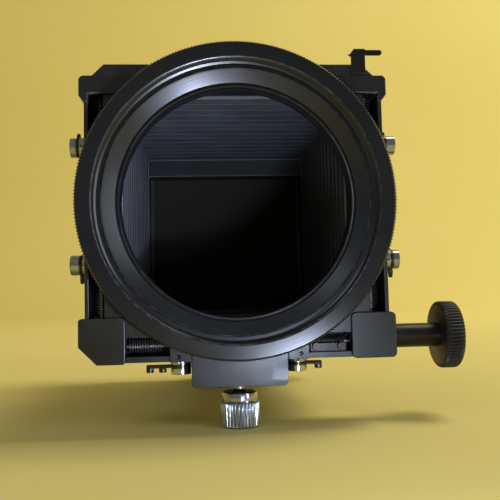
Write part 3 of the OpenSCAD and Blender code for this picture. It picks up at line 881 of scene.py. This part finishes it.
@dataclass
class CoilSpring:
    """A close-wound compression spring.

    Attributes:
        name: The piece's name.
        start: Middle of the fixed end.
        end: Middle of the moving end.
        mover: Body that pushes the moving end.
        radius: Radius of the wire's centre line.
        wire: Radius of the wire.
        pitch: Distance between turns at rest.
        steps: Steps in one turn.
        sides: Sides of the wire's section.
        replaces: CAD nodes that it stands for.
    """

    name: str
    start: tuple[float, float, float]
    end: tuple[float, float, float]
    mover: Body
    radius: float = 1.95
    wire: float = 0.23
    pitch: float = 0.8
    steps: int = 18
    sides: int = 7
    replaces: tuple[str, ...] = ()

    def build(self) -> None:
        """Winds the wire by spinning its section while it moves along the axis."""
        start, end = Vector(self.start), Vector(self.end)
        length = (end - start).length - 2 * self.wire
        turns = max(1, round(length / self.pitch))
        steps = turns * self.steps
        made = bmesh.new()
        bmesh.ops.create_circle(made, segments=self.sides, radius=self.wire * MM)
        upright = Matrix.Rotation(math.radians(90), 4, "X")
        made.transform(Matrix.Translation(Vector((self.radius, 0, self.wire)) * MM) @ upright)
        bmesh.ops.spin(
            made,
            geom=made.edges[:],
            cent=(0, 0, 0),
            axis=(0, 0, 1),
            dvec=(0, 0, length * MM / steps),
            angle=math.tau * turns,
            steps=steps,
            use_merge=False,
        )
        bmesh.ops.holes_fill(made, edges=[e for e in made.edges if e.is_boundary], sides=0)
        bmesh.ops.recalc_face_normals(made, faces=made.faces)
        turn = Vector((0, 0, 1)).rotation_difference((end - start).normalized()).to_matrix().to_4x4()
        made.transform(Matrix.Translation(start * MM) @ turn)
        coil = piece(self.name, made, None, SPRING_WIRE, self.replaces, crease=60)
        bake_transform(coil, Body.FRONT.value, self.mover.value, start=tuple(start * MM), end=tuple(end * MM))


@dataclass
class FrontFrame:
    """The square frame: rails, bridge, corner blocks, rods, sills, bracket and springs.

    Attributes:
        rod: Radius of the guide rods.
        springs: The springs, once plan_springs has placed them.
    """

    rod: float = 1.5
    springs: list[CoilSpring] = field(default_factory=list)

    def plan_springs(self) -> None:
        """Places the four upright springs and the two cross springs from the frame's own boxes."""
        sliders_low, sliders_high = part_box("slider_blocks")
        rods_low, rods_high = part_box("guide_rods")
        springs_low, springs_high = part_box("rise_springs")
        offset = (rods_high.x - rods_low.x) / 2 / MM - self.rod
        y = middle_of("guide_rods").y
        ends = (("lower", springs_low.z, sliders_low.z), ("upper", springs_high.z, sliders_high.z))
        for side, label in ((-1, "left"), (1, "right")):
            x = middle_of("slider_blocks").x + side * offset
            for level, fixed, moving in ends:
                name = f"spring_{label}_{level}"
                self.springs.append(CoilSpring(name, (x, y, fixed / MM), (x, y, moving / MM), Body.PLATE))
        self.springs[0].replaces = ("rise_springs",)
        for label, mover in (("left", Body.CATCH_LEFT), ("right", Body.CATCH_RIGHT)):
            node = f"catch_spring_{label}"
            box_low, box_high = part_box(node)
            _, y, z = middle_of(node)
            outer, inner = box_low.x / MM, box_high.x / MM
            fixed, moving = (outer, inner) if label == "left" else (inner, outer)
            name = f"cross_spring_{label}"
            self.springs.append(CoilSpring(name, (fixed, y, z), (moving, y, z), mover, replaces=(node,)))

    def build(self) -> None:
        """Finishes the frame's parts and winds the springs."""
        for node in ("left_rail", "right_rail", "bottom_sills"):
            dress(node, Body.FRONT, ANODISED, 0.15)
        for corner in ("tl", "tr", "bl", "br"):
            dress(f"corner_block_{corner}", Body.FRONT, ANODISED, 0.3)
        dress("top_bridge", Body.FRONT, ANODISED, 0.3)
        dress("base_bracket", Body.FRONT, SATIN_PAINT, 0.35)
        dress("bellows_front_frame", Body.FRONT, ANODISED, 0.2)
        dress("guide_rods", Body.FRONT, GROUND_STEEL, 0.2)
        dress("cross_rod", Body.FRONT, GROUND_STEEL, 0.2)
        dress("stop_strip", Body.FRONT, OXIDE_STEEL, 0.15)
        dress("frame_screws", Body.FRONT, OXIDE_STEEL, 0.12)
        dress("shaft_bushes", Body.FRONT, BRONZE, 0.1)
        self.plan_springs()
        for spring in self.springs:
            spring.build()


@dataclass
class Catches:
    """The two sprung catches on the cross rod, the clamp shoe and the release lever."""

    def build(self) -> None:
        """Finishes the catches, the lever and the shoe."""
        dress("catch_left", Body.CATCH_LEFT, ANODISED, 0.15)
        dress("catch_right", Body.CATCH_RIGHT, ANODISED, 0.15)
        dress("release_lever", Body.LEVER, OXIDE_STEEL, 0.12)
        dress("clamp_shoe", Body.THUMB, BRONZE, 0.1)


@dataclass
class LockScrews:
    """The six nickel lock screws and their dark tab washers.

    Attributes:
        places: Left, right or bottom, with upper, lower, left or right.
    """

    places: tuple[str, ...] = ("lu", "ll", "ru", "rl", "bl", "br")

    def build(self) -> None:
        """Finishes each screw and its washer."""
        for place in self.places:
            dress(f"lock_screw_{place}", Body(f"lock_{place}"), NICKEL, 0.14)
            dress(f"lock_tab_{place}", Body(f"lock_{place}"), DARK_NICKEL, 0.18)


@dataclass
class RiseKnob:
    """The ribbed knob with its thick shaft and pinion.

    Attributes:
        radius: Outer radius of the knob.
        hollow: Radius of the shallow hollow in its outer face.
        ribs: Number of ribs round it.
        rib_depth: Depth of the grooves between them.
    """

    radius: float = 11.2
    hollow: float = 7.6
    ribs: int = 60
    rib_depth: float = 0.75

    def build(self) -> None:
        """Turns and ribs the knob, and finishes the shaft and the pinion."""
        low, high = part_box("focus_knob")
        thick = (high.x - low.x) / MM
        r = self.radius
        outline = [
            (0, 0.0),
            (3.9, 0.0),
            (r - 1.3, 0.0),
            (r - 0.6, 0.12),
            (r - 0.15, 0.55),
            (r, 1.1),
            (r, thick - 1.1),
            (r - 0.15, thick - 0.55),
            (r - 0.6, thick - 0.1),
            (r - 1.3, thick),
            (self.hollow, thick),
            (self.hollow - 0.4, thick - 0.1),
            (self.hollow - 1.0, thick - 0.6),
            (0, thick - 0.7),
        ]
        made = lathe(outline, self.ribs * 6, closed=False)
        rib(made, self.ribs, self.rib_depth, r - 0.65, (0.05, thick - 0.05))
        _, y, z = middle_of("focus_knob")
        placed(made, Axis.X, (low.x / MM, y, z))
        piece("ribbed_knob", made, Body.KNOB, HARD_PLASTIC, ("focus_knob",), crease=50)
        dress("knob_shaft", Body.KNOB, OXIDE_STEEL, 0.15)
        dress("pinion", Body.KNOB, BRONZE, 0.05)


@dataclass
class ThumbScrew:
    """The nickel thumb screw under the bracket: shaft, plain collar and knurled sleeve.

    Attributes:
        shaft: Radius of the shaft.
        collar: Radius of the plain collar.
        sleeve: Radius of the knurled sleeve at its top.
        sleeve_top: Height of the sleeve's top.
        collar_low: Height of the collar's lower edge.
        collar_top: Height of the collar's top.
        ribs: Number of ribs round the sleeve.
        rib_depth: Depth of the grooves between them.
    """

    shaft: float = 1.5
    collar: float = 5.7
    sleeve: float = 6.5
    sleeve_top: float = -63.5
    collar_low: float = -62.9
    collar_top: float = -60.4
    ribs: int = 34
    rib_depth: float = 0.55

    def build(self) -> None:
        """Turns the screw and cuts the straight knurl."""
        low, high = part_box("thumb_screw")
        foot, top = low.z / MM, high.z / MM
        outline = [
            (0, foot + 0.5),
            (2.0, foot + 0.5),
            (2.4, foot),
            (self.sleeve - 0.75, foot),
            (self.sleeve - 0.3, foot + 0.2),
            (self.sleeve - 0.12, foot + 0.6),
            (self.sleeve, self.sleeve_top - 0.7),
            (self.sleeve - 0.15, self.sleeve_top - 0.25),
            (self.sleeve - 0.5, self.sleeve_top),
            (self.collar - 0.5, self.sleeve_top + 0.1),
            (self.collar - 0.6, self.sleeve_top + 0.4),
            (self.collar, self.collar_low),
            (self.collar, self.collar_top - 0.6),
            (self.collar - 0.15, self.collar_top - 0.2),
            (self.collar - 0.6, self.collar_top),
            (self.shaft + 1.1, self.collar_top),
            (self.shaft + 0.6, self.collar_top + 0.4),
            (self.shaft, self.collar_top + 0.8),
            (self.shaft, top - 0.2),
            (self.shaft - 0.2, top),
            (0, top),
        ]
        made = lathe(outline, self.ribs * 8, closed=False)
        rib(made, self.ribs, self.rib_depth, self.sleeve - 0.4, (foot + 0.3, self.sleeve_top - 0.1))
        x, y, _ = middle_of("thumb_screw")
        placed(made, Axis.Z, (x, y, 0))
        piece("knurled_thumb_screw", made, Body.THUMB, NICKEL, ("thumb_screw",), crease=32)


@dataclass
class Bellows:
    """The pleated square bellows, folded from one coated cloth.

    Attributes:
        crest: Half width at the outer folds.
        valley: Half width at the inner folds.
        pitch: Distance between outer folds.
        wall: Thickness of the cloth.
        crest_corner: Width of the flat across each corner at the outer folds.
        valley_corner: The same at the inner folds.
        front_flat: Length of the unpleated collar at the front.
        rear_flat: Length of the unpleated collar at the rear.
        gap: Distance kept from both ends of the bellows' space.
        fold: Width of the rounding of each fold.
        sway: How far the folds wander from straight.
        sway_size: Size of the stretches that wander together.
        fade: Distance from either end over which the wandering dies out.
        seed: Seed of that wandering.
    """

    crest: float = 40.7
    valley: float = 38.0
    pitch: float = 6.8
    wall: float = 0.5
    crest_corner: float = 3.4
    valley_corner: float = 1.2
    front_flat: float = 3.4
    rear_flat: float = 2.0
    gap: float = 0.05
    fold: float = 0.45
    sway: float = 0.22
    sway_size: float = 11.0
    fade: float = 4.0
    seed: int = 37

    def loop(self, made: BMesh, half: float, corner: float, y: float) -> list[bmesh.types.BMEdge]:
        """Draws one fold line: a square with its corners cut, and points along each side.

        Args:
            made: The mesh to draw in.
            half: Half width of the square.
            corner: Width of the cut at each corner.
            y: Depth of the fold line.

        Returns:
            The loop's edges.
        """
        along = [-half + corner, -half / 2, 0.0, half / 2, half - corner]
        sides = [(s, half) for s in along]
        points = []
        for quarter in range(4):
            turn = Matrix.Rotation(-quarter * math.pi / 2, 2)
            points += [turn @ Vector(side) for side in sides]
        verts = [made.verts.new(Vector((p.x, y, p.y)) * MM) for p in points]
        return [made.edges.new((verts[i], verts[(i + 1) % len(verts)])) for i in range(len(verts))]

    def build(self) -> None:
        """Lofts the folds, rounds them, thickens the cloth and lets it stretch with the focus slide."""
        low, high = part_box("bellows")
        start, end = low.y / MM + self.gap, high.y / MM - self.gap
        first, last = start + self.front_flat, end - self.rear_flat
        count = int((last - first) / self.pitch)
        pitch = (last - first) / count
        inner = (self.valley, self.valley_corner)
        outer = (self.crest, self.crest_corner)
        made = bmesh.new()
        loops = [self.loop(made, *inner, start)]
        for pleat in range(count):
            y = first + pleat * pitch
            loops.append(self.loop(made, *inner, y))
            loops.append(self.loop(made, *outer, y + pitch / 2))
        loops.append(self.loop(made, *inner, first + count * pitch))
        loops.append(self.loop(made, *inner, end))
        folds = [edge for ring in loops[1:-1] for edge in ring]
        for near, far in zip(loops, loops[1:]):
            bmesh.ops.bridge_loops(made, edges=near + far)
        bmesh.ops.recalc_face_normals(made, faces=made.faces)
        bmesh.ops.bevel(
            made,
            geom=[edge for edge in folds if edge.is_valid],
            offset=self.fold * MM,
            segments=2,
            profile=0.5,
            affect="EDGES",
            clamp_overlap=True,
            material=-1,
        )
        noise.seed_set(self.seed)
        for vert in made.verts:
            drift = noise.noise_vector(vert.co / (self.sway_size * MM))
            inside = min(1.0, (vert.co.y / MM - start) / self.fade, (end - vert.co.y / MM) / self.fade)
            vert.co += drift * self.sway * MM * max(0.0, inside)
        bmesh.ops.recalc_face_normals(made, faces=made.faces)
        bmesh.ops.solidify(made, geom=made.faces[:], thickness=self.wall * MM)
        bmesh.ops.recalc_face_normals(made, faces=made.faces)
        folded = piece("pleated_bellows", made, None, BELLOWS_CLOTH, ("bellows",), crease=65)
        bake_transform(folded, Body.FRONT.value, Body.REAR.value, start=(0, low.y, 0), end=(0, high.y, 0))


@dataclass
class RearStandard:
    """The rail, the rear block with its socket, the rear frame and the film back.

    Attributes:
        panel_half: Half width of the leathercloth panel on the back.
        panel_rise: How far it stands above the cover.
        panel_sink: How far it is let into the cover.
        panel_edge: Radius of its edges.
    """

    panel_half: float = 38.0
    panel_rise: float = 0.55
    panel_sink: float = 0.2
    panel_edge: float = 0.3

    def build(self) -> None:
        """Finishes the rail and everything that is fixed to its rear end."""
        dress("rail", Body.REAR, ANODISED, 0.25)
        dress("rear_block", Body.REAR, SATIN_PAINT, 0.6)
        dress("tripod_socket", Body.REAR, GROUND_STEEL, 0.25)
        dress("rear_frame", Body.REAR, WRINKLE_PAINT, 0.5)
        dress("film_holder", Body.REAR, HARD_PLASTIC, 0.3)
        dress("septum_plate", Body.REAR, GROUND_STEEL, 0.1)
        dress("film_sheet", Body.REAR, FILM, 0.03)
        dress("back_cover", Body.REAR, SATIN_PAINT, 0.5)
        dress("back_clips", Body.REAR, SPRING_WIRE, 0.15)
        dress("rear_screws", Body.REAR, OXIDE_STEEL, 0.2)
        # the dark slide's olive cast is painted light, a warm sheen put into its tones
        dress("dark_slide", Body.DARK_SLIDE, FIBRE_SHEET_PAINTED_SHEEN, 0.25)
        self.back_panel()

    def back_panel(self) -> None:
        """Lays a leathercloth panel on the back cover, inside its screws."""
        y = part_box("back_cover")[1].y / MM
        half, low, high = self.panel_half, y - self.panel_sink, y + self.panel_rise
        made = block((-half, low, -half), (half, high, half), self.panel_edge)
        piece("back_cloth_panel", made, Body.REAR, BACK_CLOTH)


# ---- stage, camera and lights ----


@dataclass(frozen=True)
class SoftBox:
    """One soft rectangular light.

    Attributes:
        name: The light's name.
        at: Its place, in metres.
        size: Its width and height, in metres.
        watts: Its power.
        colour: Its colour, sRGB hex.
        aim: The point that it faces, in metres.
        spread: Angle of its beam, in degrees.
    """

    name: str
    at: tuple[float, float, float]
    size: tuple[float, float]
    watts: float
    colour: str
    aim: tuple[float, float, float] = (0.0, 0.03, 0.0)
    spread: float = 180.0

    def build(self) -> None:
        """Adds the light to the scene."""
        lamp = bpy.data.lights.new(self.name, "AREA")
        lamp.shape = "RECTANGLE"
        lamp.size, lamp.size_y = self.size
        lamp.energy = self.watts
        lamp.spread = math.radians(self.spread)
        lamp.color = linear(self.colour)[:3]
        holder = bpy.data.objects.new(self.name, lamp)
        holder.location = self.at
        holder.rotation_euler = (Vector(self.aim) - Vector(self.at)).to_track_quat("-Z", "Y").to_euler()
        bpy.context.scene.collection.objects.link(holder)


SOFT_BOXES = (
    # cool and weak, high on the left: the sheen on the upper left of the ring
    SoftBox("window_upper_left", (-0.9, -0.9, 1.1), (0.6, 0.6), 2.4, "dfe9ff"),
    # two small cards just above the floor: the streaks across the lower right of the ring
    SoftBox(
        "card_low_right", (0.042, -0.13, -0.063), (0.016, 0.008), 0.07, "cfe0ff", (-0.02, 0.02, 0.03)
    ),
    SoftBox(
        "card_under_bore", (0.03, -0.1, -0.067), (0.02, 0.006), 0.042, "d6e2ff", (-0.03, 0.05, 0.034), 60
    ),
    # a tall strip on the right: the edges of the frame and the knob
    SoftBox("strip_right", (0.9, -0.7, 0.25), (0.25, 0.8), 3.0, "eef3ff"),
    # warm and strong, on the wall only: the brighter right side of the background
    SoftBox("wall_wash", (1.1, 0.3, 1.9), (1.2, 1.2), 42, "fff6dc", (0.8, 2.2, 0.1)),
)


@dataclass
class Studio:
    """A pale straw floor that runs up into a half-round wall, soft lights and the camera.

    Attributes:
        wall: Distance from the camera's middle to the wall, in metres.
        bend: Radius of the bend between floor and wall, in metres.
        wall_top: Height of the wall above the floor, in metres.
        drop: Gap between the foot and the floor, in metres.
        open_from: The wall is left out where y is below this, in metres.
        room: Colour of the light from all round, sRGB hex.
        room_strength: Its strength.
        focal: Focal length of the viewing lens, in millimetres.
        sensor: Width of its sensor, in millimetres.
        eye: Place of the viewing lens, in millimetres.
        forward: The way that it looks.
        right: The way that is right in its picture.
    """

    wall: float = 2.4
    bend: float = 0.9
    wall_top: float = 3.2
    drop: float = 0.0003
    open_from: float = -0.4
    room: str = "fff6e0"
    room_strength: float = 0.2
    focal: float = 46.8
    sensor: float = 36.0
    eye: tuple[float, float, float] = (-9.52, -197.28, -30.56)
    forward: tuple[float, float, float] = (0.0653, 0.9952, 0.0733)
    right: tuple[float, float, float] = (0.9977, -0.0637, -0.0232)

    def stage(self) -> None:
        """Makes floor and wall as one turned sweep, open towards the viewer to keep black parts dark."""
        floor = CAD_BOX[0].z - self.drop
        made = bmesh.new()
        points = [made.verts.new((0.0, 0.0, floor))]
        corner = 12
        for i in range(corner + 1):
            angle = math.pi / 2 * i / corner
            out, up = self.bend * math.sin(angle), self.bend * math.cos(angle)
            points.append(made.verts.new((self.wall - self.bend + out, 0.0, floor + self.bend - up)))
        points.append(made.verts.new((self.wall, 0.0, floor + self.wall_top)))
        edges = [made.edges.new(pair) for pair in zip(points, points[1:])]
        whole_turn(made, points + edges, 96)
        bmesh.ops.remove_doubles(made, verts=made.verts, dist=1e-6)
        bmesh.ops.recalc_face_normals(made, faces=made.faces)
        if made.faces[0].normal.z < 0:
            bmesh.ops.reverse_faces(made, faces=made.faces)
        middles = {face: face.calc_center_median() for face in made.faces}
        nearer = [face for face, at in middles.items() if at.y < self.open_from and at.z > floor + 0.02]
        bmesh.ops.delete(made, geom=nearer, context="FACES")
        for face in made.faces:
            face.smooth = True
        mesh = bpy.data.meshes.new("straw_sweep")
        made.to_mesh(mesh)
        made.free()
        mesh.materials.append(STRAW_PAPER.build())
        sweep = bpy.data.objects.new("straw_sweep", mesh)
        bpy.context.scene.collection.objects.link(sweep)

    def lights(self) -> None:
        """Sets the soft boxes and a weak warm light from all round."""
        for box in SOFT_BOXES:
            box.build()
        world = bpy.data.worlds.new("soft_room")
        world.use_nodes = True
        background = world.node_tree.nodes["Background"]
        background.inputs["Color"].default_value = linear(self.room)
        background.inputs["Strength"].default_value = self.room_strength
        bpy.context.scene.world = world

    def camera(self) -> None:
        """Places the camera just left of and below the optical axis, looking slightly up."""
        data = bpy.data.cameras.new("view")
        data.lens, data.sensor_width = self.focal, self.sensor
        data.clip_start, data.clip_end = 0.01, 20.0
        forward = Vector(self.forward).normalized()
        right = Vector(self.right)
        right = (right - right.dot(forward) * forward).normalized()
        turn = Matrix((right, right.cross(forward), -forward)).transposed().to_4x4()
        holder = bpy.data.objects.new("view", data)
        holder.matrix_world = Matrix.Translation(Vector(self.eye) * MM) @ turn
        bpy.context.scene.collection.objects.link(holder)
        bpy.context.scene.camera = holder

    def build(self) -> None:
        """Makes the stage, the lights and the camera."""
        self.stage()
        self.lights()
        self.camera()
        bpy.context.scene.view_settings.view_transform = "Standard"


def main() -> None:
    """Builds the camera's sub-assemblies in order, then the studio."""
    logging.basicConfig(level=logging.INFO, format="%(message)s")
    for assembly in (
        LensRing(),
        LensPlate(),
        FrontFrame(),
        Catches(),
        LockScrews(),
        RiseKnob(),
        ThumbScrew(),
        Bellows(),
        RearStandard(),
        Studio(),
    ):
        LOG.info("-- %s", type(assembly).__name__)
        assembly.build()


if __name__ == "__main__":
    main()
